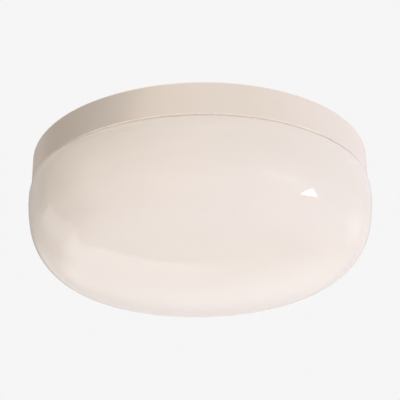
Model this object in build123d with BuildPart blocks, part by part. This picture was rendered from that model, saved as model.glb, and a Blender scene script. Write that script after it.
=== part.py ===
"""Flush mount ceiling light, 13 inch: opal glass drum on a drawn steel pan, two E27 lamps.

Millimetres. The origin is the centre of the face that lies on the ceiling, +Z points up
into the ceiling, and the fitting hangs below it. Lamp 1 points to +X and lamp 2 to -X.
"""
from build123d import *
import os
from math import acos, atan2, cos, degrees, hypot, radians, sin, sqrt, tan

os.makedirs("parts", exist_ok=True)

# ------------------------------------------------------------------ running clearances
seat_gap = 0.3            # between pieces which part when the fitting is opened
close_fit = 0.1           # between pieces which stay together

# ------------------------------------------------------------------ ceiling pan
pan_radius = 163.0        # outside of the wall
pan_depth = 31.6          # ceiling face to the underside of the rim
pan_sheet = 0.8           # steel
pan_recess = 5.0          # the middle stands off the ceiling by this much
pan_ring = 20.0           # width of the ring that lies on the ceiling
pan_slope = 5.0           # width of the step from the ring to the middle
pan_edge = 2.0            # outside radius of the edge by the ceiling
pan_bend = 1.2            # outside radius of the bends at the rim
rim_width = 4.8           # rim flange, from the wall inwards
rim_return = 3.2          # height of the return that stiffens the flange
fixing_spacing = 150.0    # between the two ceiling fixing slots
fixing_width = 5.5
fixing_length = 14.0
cable_hole = 8.0          # radius of the cable entry
cable_hole_y = 32.0
gasket_thickness = 0.8
gasket_width = 2.2

# ------------------------------------------------------------------ opal shade
glass = 3.2               # wall
shade_overhang = 2.0      # widest part of the shade beyond the pan's wall
shade_height = 97.8       # below the pan's rim
widest_drop = 11.6        # pan's rim to the widest part of the shade
side_radius = 141.9       # profile of the side, below the widest part
corner_radius = 58.0      # profile of the lower corner
dome_radius = 518.0       # profile of the shallow bottom
shoulder_inset = 2.0      # shoulder's edge inside the widest part
shoulder_edge = 1.2       # rounding of the shoulder's edge
neck_clearance = 1.2      # between the rim's return and the neck
neck_height = 11.2        # shoulder to the top of the lip
neck_root = 1.5           # rounding between shoulder and neck
neck_top = 2.5            # rounding of the neck's top
lip_reach = 5.3           # in-turned lip, from the neck's inside
lip_thickness = 3.0
lip_round = 1.4           # rounding of the lip's edge
inner_flare = 4.0         # roundings where the neck opens into the body

# ------------------------------------------------------------------ spring clips
clip_count = 3
clip_first = 90.0         # angle of the first clip
clip_sheet = 0.8          # spring steel
clip_width = 16.0
clip_foot = 23.0          # length of the foot that lies on the pan
clip_foot_gap = 1.2       # foot's end to the bend of the pan's step
clip_leg_gap = 3.3        # lip's edge to the middle of the leg
clip_flank = 40.0         # slope of the flank that carries the lip, below level
clip_nose = 5.0           # flank beyond the point that carries the lip
clip_tab = 9.5            # lead-in tab below the nose
clip_tab_slope = 45.0
clip_bend = 2.4           # bend radii at the middle of the sheet
nose_bend = 1.6
sleeve_wall = 0.6         # silicone sleeve on the nose
sleeve_leg = 3.0          # sleeve above the flank
sleeve_tab = 6.0          # sleeve below the nose

# ------------------------------------------------------------------ rivets and screws
rivet_radius = 1.6
rivet_head = 2.7
rivet_head_height = 1.3
rivet_tail = 2.3
rivet_tail_height = 1.0
rivet_pitch = 10.0        # between the two rivets of a clip
screw_slot = 0.8          # width and depth of a driver slot
rivet_dome = 0.75         # roundings, each a share of the height of its own head
tail_dome = 0.6
screw_dome = 0.35
tip_dome = 0.7

# ------------------------------------------------------------------ lampholders
lamp_offset = 40.0        # lamp axes from the middle of the pan
lamp_drop = 40.2          # lamp axes below the pan's inside
mouth_inset = 20.0        # holder mouths from the middle of the pan
holder_length = 46.0
holder_radius = 20.0      # at the mouth
holder_rear = 16.0        # radius at the back
holder_step = 22.0        # length of the wide part
holder_taper = 6.0        # length of the slope behind it
holder_mouth_edge = 2.0   # roundings of the outline
holder_waist_edge = 3.0
holder_rear_edge = 1.5
holder_bore = 14.15       # radius
bore_depth = 28.0
contact_chamber = 10.0    # radius of the chamber for the centre contact
contact_sheet = 0.5
contact_width = 6.0
contact_rise = 3.4        # height of the sprung middle
contact_inset = 1.6       # end of the strip to the chamber's wall
contact_foot = 3.0        # flat at each end of the strip
contact_crown = 4.0       # flat of the sprung middle
contact_bend = 1.0
shell_wall = 0.5          # threaded contact shell
shell_top = 4.5           # mouth to the shell
shell_length = 19.5
lead_hole = 1.5           # radius
lead_hole_depth = 8.3
lead_pitch = 11.0         # between the two holes for the leads
holder_screw_pitch = 22.0
holder_screw_radius = 1.5
holder_screw_length = 10.0
holder_screw_head = 2.7
holder_screw_head_height = 1.7

# ------------------------------------------------------------------ holder brackets
bracket_sheet = 1.2
bracket_width = 30.0
bracket_foot = 22.0
bracket_bend = 2.0        # at the middle of the sheet
bracket_below = 15.0      # upright beyond the lamp's axis
bracket_corner = 6.0
window_width = 22.0       # opening for the leads
window_height = 9.0
window_corner = 2.0
bracket_rivet_pitch = 16.0
bracket_rivet_inset = 6.0   # from the end of the foot

# ------------------------------------------------------------------ lamps, A60 with E27 cap
cap_radius = 13.1
cap_wall = 0.4
cap_length = 20.0         # threaded part, below the mouth
cap_skirt = 13.7          # radius of the skirt
cap_skirt_height = 2.5    # above the mouth
cap_cone = 9.5            # radius where the threaded part ends
cap_cone_height = 2.4
cap_bend = 0.8            # where the cone meets the threaded part
skirt_bend = 0.4
insulator_height = 3.0
insulator_seat = 1.0      # part of the insulator inside the cap
insulator_end = 5.0       # radius
tip_radius = 4.4
tip_height = 1.1
bulb_radius = 30.0
bulb_wall = 0.8
bulb_neck = 15.5
bulb_neck_start = 6.7     # above the mouth
bulb_neck_curve = 45.0    # radius of the hollow curve up to the ball
bulb_neck_bend = 2.0      # roundings between stem and neck
stem_radius = 12.4        # part of the envelope inside the cap
stem_depth = 4.0

# ------------------------------------------------------------------ terminal block
block_y = 6.0             # middle of the block, off the fitting's middle
pole_count = 3
pole_pitch = 10.0
block_width = 17.5        # along the wires
block_end = 5.0           # outer pole to the block's end
block_body = 12.8         # height without the screw towers
block_height = 16.2
block_corner = 1.5
tower_radius = 3.6
tower_pitch = 9.6         # between the two screws of a pole
tower_bore = 2.1
insert_width = 6.0
insert_length = 15.0
insert_floor = 1.2        # brass above the wires
insert_clamp = 2.4        # brass that holds the screws
insert_corner = 0.6
terminal_screw_radius = 1.45
terminal_screw_head = 1.9
terminal_screw_shank = 4.0
terminal_screw_head_height = 2.0
block_screw_radius = 1.45
block_screw_hole = 1.7
block_screw_head = 2.8
block_screw_head_height = 1.8

# ------------------------------------------------------------------ grommet and earth
grommet_wall = 1.5
grommet_flange = 2.5      # beyond the hole
grommet_flange_height = 1.5
earth_x, earth_y = 36.0, 11.0
earth_screw_radius = 2.0
earth_screw_head = 3.8
earth_screw_head_height = 2.4
screw_tail = 3.0          # screws reach this far above the pan's middle
tag_sheet = 0.8
tag_radius = 4.6
tag_barrel = 1.9          # radius
tag_barrel_length = 5.0
tag_bore = 1.3
tag_lap = 0.6             # barrel over the edge of the ring
tag_neck = 3.0            # length of the flat between ring and barrel
tag_plug = 1.0            # closed end of the barrel

# ------------------------------------------------------------------ leads
lead = 2.4                # diameter over the insulation
stack_pitch = 2.7         # between two leads in one terminal
upper_wire = 4.8          # below the pan's inside
pair_pitch = 4.0          # between the leads of a pair
neutral_reach = 14.0      # straight out of the back of a holder
live_reach = 18.0
wire_past_screw = 1.3     # end of a lead past the first clamping screw
earth_grip = 2.0          # earth lead inside the tag's barrel
arc_share = 0.45          # of its shorter run, that a bend may take
saddle_sheet = 0.8
saddle_length = 6.0
saddle_foot = 4.0
saddle_bend = 1.0

# ================================================================== places worked out
floor_top = -pan_recess                       # upper face of the pan's middle
floor = floor_top - pan_sheet                 # its face toward the room
rim_z = -pan_depth
shoulder_z = rim_z - gasket_thickness - seat_gap
widest_z = rim_z - widest_drop
shade_radius = pan_radius + shade_overhang
bottom_z = rim_z - shade_height
rim_inner = pan_radius - rim_width
neck_radius = rim_inner - neck_clearance
neck_inner = neck_radius - glass
lip_z = shoulder_z + neck_height              # top of the lip
lip_radius = neck_inner - lip_reach
foot_end = pan_radius - pan_ring - pan_slope - clip_foot_gap
lamp_z = floor - lamp_drop
rear_x = mouth_inset + holder_length
lead_z = floor - lead / 2 - seat_gap
upper_z = floor - upper_wire
lower_z = upper_z - stack_pitch
insert_top = upper_z + lead / 2 + seat_gap + insert_floor
insert_bottom = lower_z - lead / 2 - seat_gap - insert_clamp
block_face = floor - block_body
barrel_start = earth_y - tag_radius + tag_lap
barrel_z = floor - tag_barrel


def save(piece, name):
    """Name a finished piece and write its file."""
    piece.part.label = name
    export_step(piece.part, f"parts/{name}.step")


def radial_plane(angle):
    """Plane through the fitting's axis: x is the radius and y is the height."""
    a = radians(angle)
    return Plane(origin=(0, 0, 0), x_dir=(cos(a), sin(a), 0), z_dir=(sin(a), -cos(a), 0))


def lamp_plane(lamp):
    """Frame at the mouth of lampholder 1 or 2: z along the lamp, y up."""
    way = 1 if lamp == 1 else -1
    return Plane(origin=(-way * mouth_inset, -way * lamp_offset, lamp_z), x_dir=(0, way, 0),
                 z_dir=(way, 0, 0))


def turning_plane(frame):
    """Section plane of a frame: x is the radius and y runs along the frame's z."""
    return Plane(origin=frame.origin, x_dir=frame.x_dir, z_dir=-frame.y_dir)


def turning_axis(frame):
    return Axis(frame.origin, frame.z_dir)


def pole_x(pole):
    """Place of a pole along the terminal block: 0 live, 1 neutral, 2 earth."""
    return (pole - (pole_count - 1) / 2) * pole_pitch


def clip_angles():
    return [clip_first + 360 / clip_count * i for i in range(clip_count)]


def clip_rivet_places():
    """Rivets of the clips in the plane of the pan, two for each clip."""
    radii = [foot_end - clip_foot / 2 + side * rivet_pitch / 2 for side in (-1, 1)]
    return [(r * cos(radians(a)), r * sin(radians(a))) for a in clip_angles() for r in radii]


def bracket_rivet_places():
    """Rivets of the brackets in the plane of the pan, two for each bracket."""
    along = rear_x + bracket_sheet - bracket_foot + bracket_rivet_inset
    half = bracket_rivet_pitch / 2
    return [(-way * along, -way * lamp_offset + side * half) for way in (1, -1) for side in (-1, 1)]


# ================================================================== pan and gasket
def make_pan():
    """Drawn pan: ring on the ceiling, stepped middle, wall, and a rim with a return."""
    half = pan_sheet / 2
    wall = pan_radius - half
    ring = pan_radius - pan_ring
    path = [
        (0, floor + half),
        (ring - pan_slope, floor + half),
        (ring, -half),
        (wall, -half),
        (wall, rim_z + half),
        (rim_inner + half, rim_z + half),
        (rim_inner + half, rim_z + rim_return),
    ]
    bends = [pan_edge, pan_edge, pan_edge - half, pan_bend - half, pan_bend - half]
    with BuildPart() as pan:
        with BuildSketch(Plane.XZ):
            with BuildLine():
                FilletPolyline(*path, radius=bends)
            trace(line_width=pan_sheet)
        revolve(axis=Axis.Z)
        with BuildSketch(Plane.XY.offset(floor_top)):
            with GridLocations(fixing_spacing, 0, 2, 1):
                SlotOverall(fixing_length, fixing_width)
            with Locations((0, cable_hole_y)):
                Circle(cable_hole)
            with Locations(*clip_rivet_places(), *bracket_rivet_places()):
                Circle(rivet_radius + close_fit)
            with Locations((earth_x, earth_y)):
                Circle(earth_screw_radius + close_fit)
            with Locations((pole_x(0) + pole_pitch / 2, block_y)):
                Circle(block_screw_radius + close_fit)
        extrude(amount=-pan_sheet, mode=Mode.SUBTRACT)
    save(pan, "pan")


def make_gasket():
    """Foam ring on the flat of the rim; the shade's shoulder comes up to it."""
    middle = pan_radius - rim_width / 2
    with BuildPart() as gasket:
        with BuildSketch(Plane.XY.offset(rim_z)):
            Circle(middle + gasket_width / 2)
            Circle(middle - gasket_width / 2, mode=Mode.SUBTRACT)
        extrude(amount=-gasket_thickness)
    save(gasket, "rim_gasket")


# ================================================================== shade
def body_arcs(wall):
    """Side, lower corner and dome of the shade, set in by wall. Three arcs, each tangent
    to the next: side centre, side, corner centre, corner, dome centre, dome."""
    side_r = shade_radius - side_radius
    dome_z = bottom_z + dome_radius
    a = side_radius - corner_radius
    b = dome_radius - corner_radius
    run, rise = -side_r, dome_z - widest_z
    apart = hypot(run, rise)
    turn = atan2(rise, run) - acos((a * a + apart * apart - b * b) / (2 * a * apart))
    corner = (side_r + a * cos(turn), widest_z + a * sin(turn))
    side_end = degrees(turn)
    dome_end = degrees(atan2(corner[1] - dome_z, corner[0]))
    CenterArc((0, dome_z), dome_radius - wall, -90, dome_end + 90)
    CenterArc(corner, corner_radius - wall, dome_end, side_end - dome_end)
    CenterArc((side_r, widest_z), side_radius - wall, side_end, -side_end)


def make_shade():
    """Opal glass: dome, corner, side, shoulder under the rim, neck and in-turned lip."""
    drop = shoulder_z - widest_z
    edge_r = shade_radius - shoulder_inset
    upper_r = (drop * drop + shoulder_inset * shoulder_inset) / (2 * shoulder_inset)
    inside = shade_radius - glass
    neck_path = [
        (edge_r, shoulder_z),
        (neck_radius, shoulder_z),
        (neck_radius, lip_z),
        (lip_radius, lip_z),
        (lip_radius, lip_z - lip_thickness),
        (neck_inner, lip_z - lip_thickness),
        (neck_inner, shoulder_z - glass),
        (inside, shoulder_z - glass),
        (inside, widest_z),
    ]
    roundings = [neck_root, neck_top, lip_round, lip_round, neck_root, inner_flare, inner_flare]
    with BuildPart() as shade:
        with BuildSketch(Plane.XZ) as section:
            with BuildLine():
                body_arcs(0)
                CenterArc((shade_radius - upper_r, widest_z), upper_r, 0,
                          degrees(acos(1 - shoulder_inset / upper_r)))
                FilletPolyline(*neck_path, radius=roundings)
                body_arcs(glass)
                Line((0, bottom_z), (0, bottom_z + glass))
            make_face()
            fillet(section.vertices().sort_by_distance((edge_r, shoulder_z))[0], shoulder_edge)
        revolve(axis=Axis.Z)
    save(shade, "opal_shade")


# ================================================================== spring clips
def clip_points():
    """Middle of the clip's strip in its radial plane: foot, knee, hip, nose and tab."""
    slope = radians(clip_flank)
    reach = lip_round + seat_gap + sleeve_wall + clip_sheet / 2
    carry = (lip_radius + lip_round - reach * sin(slope),
             lip_z - lip_thickness + lip_round - reach * cos(slope))
    leg = lip_radius - clip_leg_gap
    foot_z = floor - clip_sheet / 2
    hip = (leg, carry[1] + (carry[0] - leg) * tan(slope))
    nose = (carry[0] + clip_nose * cos(slope), carry[1] - clip_nose * sin(slope))
    back = radians(clip_tab_slope)
    tab = (nose[0] - clip_tab * cos(back), nose[1] - clip_tab * sin(back))
    return [(foot_end - clip_foot, foot_z), (leg, foot_z), hip, nose, tab]


def make_clip(number, angle):
    """Bent strip of spring steel whose flank carries the shade's lip."""
    middle = foot_end - clip_foot / 2
    with BuildPart() as clip:
        with BuildSketch(radial_plane(angle)):
            with BuildLine():
                FilletPolyline(*clip_points(), radius=[clip_bend, clip_bend, nose_bend])
            trace(line_width=clip_sheet)
        extrude(amount=clip_width / 2, both=True)
        a = radians(angle)
        foot_plane = Plane(origin=(middle * cos(a), middle * sin(a), floor), x_dir=(cos(a), sin(a), 0),
                           z_dir=(0, 0, 1))
        with BuildSketch(foot_plane):
            with GridLocations(rivet_pitch, 0, 2, 1):
                Circle(rivet_radius + close_fit)
        extrude(amount=-clip_sheet, mode=Mode.SUBTRACT)
    save(clip, f"spring_clip_{number}")


def make_sleeve(number, angle):
    """Silicone sleeve round the nose of a clip."""
    foot, knee, hip, nose, tab = clip_points()
    back = radians(clip_tab_slope)
    path = [
        (hip[0], hip[1] + sleeve_leg),
        hip,
        nose,
        (nose[0] - sleeve_tab * cos(back), nose[1] - sleeve_tab * sin(back)),
    ]
    with BuildPart() as sleeve:
        with BuildSketch(radial_plane(angle)):
            with BuildLine():
                FilletPolyline(*path, radius=[clip_bend, nose_bend])
            trace(line_width=clip_sheet + 2 * sleeve_wall)
        extrude(amount=clip_width / 2 + sleeve_wall, both=True)
        with BuildSketch(radial_plane(angle)):
            with BuildLine():
                FilletPolyline(*clip_points(), radius=[clip_bend, clip_bend, nose_bend])
            trace(line_width=clip_sheet)
        extrude(amount=clip_width / 2, both=True, mode=Mode.SUBTRACT)
    save(sleeve, f"clip_sleeve_{number}")


# ================================================================== rivets and screws
def make_rivet(name, place, grip):
    """Rivet through the pan and a piece grip thick: domed head below, spread tail above."""
    low = floor - grip
    with BuildPart() as rivet:
        with BuildSketch(Plane.XY.offset(low)):
            with Locations(place):
                Circle(rivet_radius)
        extrude(amount=floor_top - low)
        with BuildSketch(Plane.XY.offset(low)):
            with Locations(place):
                Circle(rivet_head)
        extrude(amount=-rivet_head_height)
        fillet(rivet.edges().group_by(Axis.Z)[0], rivet_dome * rivet_head_height)
        with BuildSketch(Plane.XY.offset(floor_top)):
            with Locations(place):
                Circle(rivet_tail)
        extrude(amount=rivet_tail_height)
        fillet(rivet.edges().group_by(Axis.Z)[-1], tail_dome * rivet_tail_height)
    save(rivet, name)


def make_screw(name, frame, shank_radius, shank, head_radius, head_height):
    """Slotted screw: its frame lies under the head, with z toward the driver."""
    with BuildPart() as screw:
        with BuildSketch(frame):
            Circle(shank_radius)
        extrude(amount=-shank)
        with BuildSketch(frame):
            Circle(head_radius)
        extrude(amount=head_height)
        top = screw.faces().sort_by(turning_axis(frame))[-1]
        fillet(top.edges(), screw_dome * head_height)
        with BuildSketch(frame.offset(head_height)):
            Rectangle(2 * head_radius, screw_slot)
        extrude(amount=-screw_slot, mode=Mode.SUBTRACT)
    save(screw, name)


def down_plane(x, y, z):
    """Frame for a screw that is driven from below."""
    return Plane(origin=(x, y, z), x_dir=(1, 0, 0), z_dir=(0, 0, -1))


# ================================================================== lampholders
def make_holder(lamp):
    """Moulded body: wide mouth, tapered waist, bore, contact chamber and lead holes."""
    frame = lamp_plane(lamp)
    outline = [
        (0, -holder_length),
        (holder_rear, -holder_length),
        (holder_rear, -holder_step - holder_taper),
        (holder_radius, -holder_step),
        (holder_radius, 0),
        (0, 0),
    ]
    edges = [holder_rear_edge, holder_waist_edge, holder_waist_edge, holder_mouth_edge]
    chamber = bore_depth + contact_rise
    with BuildPart() as holder:
        with BuildSketch(turning_plane(frame)):
            with BuildLine():
                FilletPolyline(*outline, radius=edges)
                Line((0, 0), (0, -holder_length))
            make_face()
        revolve(axis=turning_axis(frame))
        with BuildSketch(frame):
            Circle(holder_bore)
        extrude(amount=-bore_depth, mode=Mode.SUBTRACT)
        with BuildSketch(frame.offset(-bore_depth)):
            Circle(contact_chamber)
        extrude(amount=bore_depth - chamber, mode=Mode.SUBTRACT)
        with BuildSketch(frame.offset(-holder_length)):
            with GridLocations(lead_pitch, 0, 2, 1):
                Circle(lead_hole)
        extrude(amount=lead_hole_depth, mode=Mode.SUBTRACT)
        with BuildSketch(frame.offset(-holder_length)):
            with GridLocations(0, holder_screw_pitch, 1, 2):
                Circle(holder_screw_radius + close_fit)
        extrude(amount=holder_screw_length, mode=Mode.SUBTRACT)
    save(holder, f"lampholder_{lamp}")


def make_shell(lamp):
    """Threaded contact shell in the holder's bore, drawn plain."""
    frame = lamp_plane(lamp)
    outer = holder_bore - close_fit
    with BuildPart() as shell:
        with BuildSketch(frame.offset(-shell_top)):
            Circle(outer)
            Circle(outer - shell_wall, mode=Mode.SUBTRACT)
        extrude(amount=-shell_length)
    save(shell, f"screw_shell_{lamp}")


def make_contact(lamp):
    """Sprung brass strip at the bottom of the chamber; its middle meets the lamp's tip."""
    frame = lamp_plane(lamp)
    low = -bore_depth - contact_rise + contact_sheet / 2
    tip_z = -cap_length - cap_cone_height - insulator_height - tip_height
    high = tip_z - seat_gap - contact_sheet / 2
    end = contact_chamber - contact_inset
    foot = end - contact_foot
    crown = contact_crown / 2
    path = [(-end, low), (-foot, low), (-crown, high), (crown, high), (foot, low), (end, low)]
    with BuildPart() as contact:
        with BuildSketch(turning_plane(frame)):
            with BuildLine():
                FilletPolyline(*path, radius=contact_bend)
            trace(line_width=contact_sheet)
        extrude(amount=contact_width / 2, both=True)
    save(contact, f"centre_contact_{lamp}")


def make_bracket(lamp):
    """Angle bracket: its foot is riveted to the pan and its upright carries the holder."""
    frame = lamp_plane(lamp)
    half = bracket_sheet / 2
    upright = -holder_length - half
    top = lamp_drop - half
    side_view = Plane(origin=frame.origin, x_dir=frame.z_dir, z_dir=-frame.x_dir)
    path = [(upright - half + bracket_foot, top), (upright, top), (upright, -bracket_below)]
    rear = frame.offset(-holder_length)
    with BuildPart() as bracket:
        with BuildSketch(side_view):
            with BuildLine():
                FilletPolyline(*path, radius=bracket_bend)
            trace(line_width=bracket_sheet)
        extrude(amount=bracket_width / 2, both=True)
        corners = bracket.edges().filter_by(turning_axis(frame)).group_by(Axis.Z)[0]
        fillet(corners, bracket_corner)
        with BuildSketch(rear):
            RectangleRounded(window_width, window_height, window_corner)
            with GridLocations(0, holder_screw_pitch, 1, 2):
                Circle(holder_screw_radius + close_fit)
        extrude(amount=-bracket_sheet, mode=Mode.SUBTRACT)
        first = 2 * (lamp - 1)
        with BuildSketch(Plane.XY.offset(floor)):
            with Locations(*bracket_rivet_places()[first:first + 2]):
                Circle(rivet_radius + close_fit)
        extrude(amount=-bracket_sheet, mode=Mode.SUBTRACT)
    save(bracket, f"holder_bracket_{lamp}")


def make_holder_screws(lamp):
    """Two screws through the bracket into the back of the holder, above and below."""
    frame = lamp_plane(lamp)
    back = -holder_length - bracket_sheet
    for number, side in enumerate((1, -1), start=2 * lamp - 1):
        spot = frame.from_local_coords((0, side * holder_screw_pitch / 2, back))
        screw_frame = Plane(origin=spot, x_dir=frame.x_dir, z_dir=-frame.z_dir)
        shank = bracket_sheet + holder_screw_length - seat_gap
        make_screw(f"holder_screw_{number}", screw_frame, holder_screw_radius, shank,
                   holder_screw_head, holder_screw_head_height)


# ================================================================== lamps
def make_cap(lamp):
    """E27 cap of thin sheet, with its thread drawn plain: cone, barrel and skirt."""
    frame = lamp_plane(lamp)
    half = cap_wall / 2
    path = [
        (cap_cone, -cap_length - cap_cone_height),
        (cap_radius - half, -cap_length),
        (cap_radius - half, 0),
        (cap_skirt - half, cap_skirt - cap_radius),
        (cap_skirt - half, cap_skirt_height),
    ]
    with BuildPart() as cap:
        with BuildSketch(turning_plane(frame)):
            with BuildLine():
                FilletPolyline(*path, radius=[cap_bend, skirt_bend, skirt_bend])
            trace(line_width=cap_wall)
        revolve(axis=turning_axis(frame))
    save(cap, f"lamp_cap_{lamp}")


def make_insulator(lamp):
    """Glass insulator that closes the cap's lower end."""
    frame = lamp_plane(lamp)
    top = -cap_length - cap_cone_height
    rim = cap_cone - cap_wall
    outline = [
        (0, top + insulator_seat),
        (rim, top + insulator_seat),
        (rim, top),
        (insulator_end, top - insulator_height),
        (0, top - insulator_height),
    ]
    with BuildPart() as insulator:
        with BuildSketch(turning_plane(frame)):
            with BuildLine():
                Polyline(*outline, close=True)
            make_face()
        revolve(axis=turning_axis(frame))
    save(insulator, f"cap_insulator_{lamp}")


def make_tip(lamp):
    """Tip contact: a low domed button under the insulator."""
    frame = lamp_plane(lamp)
    start = -cap_length - cap_cone_height - insulator_height
    with BuildPart() as tip:
        with BuildSketch(frame.offset(start)):
            Circle(tip_radius)
        extrude(amount=-tip_height)
        end_face = tip.faces().sort_by(turning_axis(frame))[0]
        fillet(end_face.edges(), tip_dome * tip_height)
    save(tip, f"tip_contact_{lamp}")


def make_bulb(lamp):
    """A60 envelope: stem in the cap, neck, hollow curve and ball, of thin glass."""
    frame = lamp_plane(lamp)
    half = bulb_wall / 2
    ball = bulb_radius - half
    neck = bulb_neck - half
    hollow = bulb_neck_curve + half
    hollow_r = neck + hollow
    ball_z = bulb_neck_start + sqrt((ball + hollow) ** 2 - hollow_r ** 2)
    meet = degrees(atan2(ball_z - bulb_neck_start, hollow_r))
    stem = stem_radius - half
    path = [(stem, -stem_depth), (stem, cap_skirt_height), (neck, bulb_neck_start)]
    with BuildPart() as bulb:
        with BuildSketch(turning_plane(frame)):
            with BuildLine():
                FilletPolyline(*path, radius=bulb_neck_bend)
                CenterArc((hollow_r, bulb_neck_start), hollow, 180, -meet)
                CenterArc((0, ball_z), ball, -meet, 90 + meet)
            trace(line_width=bulb_wall)
        revolve(axis=turning_axis(frame))
    save(bulb, f"bulb_{lamp}")


# ================================================================== terminal block
def tower_places():
    """Screw towers of the terminal block, two for each pole."""
    half = tower_pitch / 2
    return [(pole_x(i), block_y + side * half) for side in (-1, 1) for i in range(pole_count)]


def wire_plane(pole):
    """Plane across the wires of a pole, in the middle of the block."""
    return Plane(origin=(pole_x(pole), block_y, 0), x_dir=(1, 0, 0), z_dir=(0, -1, 0))


def wire_slot(clearance):
    """Opening for two leads, one above the other, in a plane across the wires."""
    middle = (upper_z + lower_z) / 2
    with Locations((0, middle)):
        SlotOverall(lead + stack_pitch + 2 * clearance, lead + 2 * clearance, rotation=90)


def make_block():
    """Moulded strip with three wire ways and six screw towers."""
    length = (pole_count - 1) * pole_pitch + 2 * block_end
    screw_x = [pole_x(i) + pole_pitch / 2 for i in range(pole_count - 1)]
    with BuildPart() as block:
        with BuildSketch(Plane.XY.offset(floor)):
            with Locations((0, block_y)):
                RectangleRounded(length, block_width, block_corner)
        extrude(amount=-block_body)
        with BuildSketch(Plane.XY.offset(block_face)):
            with Locations(*tower_places()):
                Circle(tower_radius)
        extrude(amount=block_body - block_height)
        with BuildSketch(Plane.XY.offset(floor)):
            with Locations(*[(x, block_y) for x in screw_x]):
                Circle(block_screw_hole)
        extrude(amount=-block_body, mode=Mode.SUBTRACT)
        with BuildSketch(Plane.XY.offset(insert_top + close_fit)):
            with Locations(*[(pole_x(i), block_y) for i in range(pole_count)]):
                Rectangle(insert_width + 2 * close_fit, insert_length + 2 * close_fit)
        extrude(amount=insert_bottom - insert_top - 2 * close_fit, mode=Mode.SUBTRACT)
        with BuildSketch(Plane.XY.offset(floor - block_height)):
            with Locations(*tower_places()):
                Circle(tower_bore)
        extrude(amount=insert_bottom - floor + block_height, mode=Mode.SUBTRACT)
        for pole in range(pole_count):
            with BuildSketch(wire_plane(pole)):
                wire_slot(seat_gap + close_fit)
            extrude(amount=block_width / 2, both=True, mode=Mode.SUBTRACT)
    save(block, "terminal_block")


def make_insert(pole):
    """Brass clamp of one pole, with its wire way and two screw holes."""
    with BuildPart() as insert:
        with BuildSketch(Plane.XY.offset(insert_top)):
            with Locations((pole_x(pole), block_y)):
                RectangleRounded(insert_width, insert_length, insert_corner)
        extrude(amount=insert_bottom - insert_top)
        with BuildSketch(wire_plane(pole)):
            wire_slot(seat_gap)
        extrude(amount=insert_length / 2, both=True, mode=Mode.SUBTRACT)
        with BuildSketch(Plane.XY.offset(insert_bottom)):
            with Locations(*tower_places()[pole::pole_count]):
                Circle(terminal_screw_radius + close_fit)
        extrude(amount=insert_clamp, mode=Mode.SUBTRACT)
    save(insert, f"terminal_insert_{pole + 1}")


def make_terminal_screws():
    """Clamping screws: each stops just short of the lead below it."""
    reach = lower_z - lead / 2 - seat_gap
    for number, place in enumerate(tower_places(), start=1):
        frame = down_plane(*place, reach - terminal_screw_shank)
        make_screw(f"terminal_screw_{number}", frame, terminal_screw_radius, terminal_screw_shank,
                   terminal_screw_head, terminal_screw_head_height)


# ================================================================== grommet and earth
def make_grommet():
    """Soft bush: a flange on each side of the pan and a collar through the hole."""
    path = [
        (cable_hole - close_fit - grommet_wall, floor_top + grommet_flange_height),
        (cable_hole + grommet_flange, floor_top + grommet_flange_height),
        (cable_hole + grommet_flange, floor_top + close_fit),
        (cable_hole - close_fit, floor_top + close_fit),
        (cable_hole - close_fit, floor - close_fit),
        (cable_hole + grommet_flange, floor - close_fit),
        (cable_hole + grommet_flange, floor - grommet_flange_height),
        (cable_hole - close_fit - grommet_wall, floor - grommet_flange_height),
    ]
    section_plane = Plane(origin=(0, cable_hole_y, 0), x_dir=(1, 0, 0), z_dir=(0, -1, 0))
    with BuildPart() as grommet:
        with BuildSketch(section_plane):
            with BuildLine():
                Polyline(*path, close=True)
            make_face()
        revolve(axis=Axis((0, cable_hole_y, 0), (0, 0, 1)))
    save(grommet, "cable_grommet")


def make_earth_tag():
    """Ring tag under the earth screw, with a barrel that grips the earth lead."""
    barrel_plane = Plane(origin=(earth_x, barrel_start, barrel_z), x_dir=(1, 0, 0), z_dir=(0, -1, 0))
    with BuildPart() as tag:
        with BuildSketch(Plane.XY.offset(floor)):
            with Locations((earth_x, earth_y)):
                Circle(tag_radius)
            with Locations((earth_x, barrel_start)):
                Rectangle(2 * tag_barrel, tag_neck)
        extrude(amount=-tag_sheet)
        with BuildSketch(barrel_plane):
            Circle(tag_barrel)
        extrude(amount=tag_barrel_length)
        with BuildSketch(barrel_plane.offset(tag_plug)):
            Circle(tag_bore)
        extrude(amount=tag_barrel_length, mode=Mode.SUBTRACT)
        with BuildSketch(Plane.XY.offset(floor)):
            with Locations((earth_x, earth_y)):
                Circle(earth_screw_radius + close_fit)
        extrude(amount=-tag_sheet, mode=Mode.SUBTRACT)
    save(tag, "earth_tag")


# ================================================================== leads
lead_start = rear_x - lead_hole_depth + seat_gap     # bottom of a lead hole, along a lamp's axis
neutral_y = lamp_offset - lead_pitch / 2
live_y = lamp_offset + lead_pitch / 2
neutral_turn = rear_x + neutral_reach
live_turn = rear_x + live_reach
live_pole_x, neutral_pole_x, earth_pole_x = pole_x(0), pole_x(1), pole_x(2)
wire_end = block_y - tower_pitch / 2 + wire_past_screw
earth_start = barrel_start - tag_plug - earth_grip

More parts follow.
